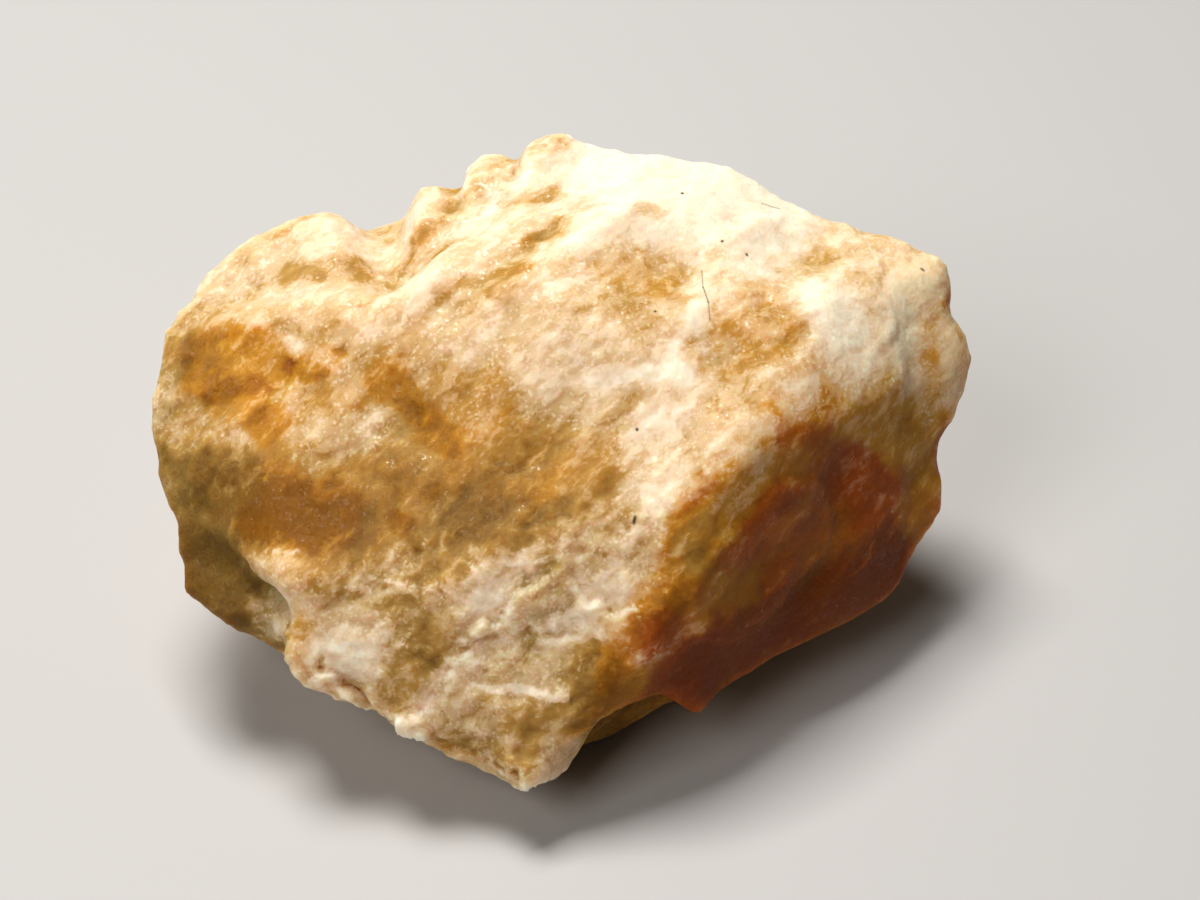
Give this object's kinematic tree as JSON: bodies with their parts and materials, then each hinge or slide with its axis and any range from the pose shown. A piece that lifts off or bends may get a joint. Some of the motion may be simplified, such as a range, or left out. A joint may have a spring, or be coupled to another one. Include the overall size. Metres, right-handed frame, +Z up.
{
  "type": "raw danburite",
  "caption": "Rough broken piece of translucent honey-coloured danburite crystal with a frosted ridge and a small flat facet underneath to rest on.",
  "frame": {"origin": "middle of the stone's footprint box, in the plane that it rests on", "axes": "+Z up, +X along the longest side, -Y towards the pointed lower front"},
  "size_m": [0.033, 0.0234, 0.018],
  "materials": {
    "danburite": "broken and translucent: honey and amber where clear, white and frosted where bruised"
  },
  "bodies": {
    "root": {"danburite": "danburite"}
  },
  "joints": []
}
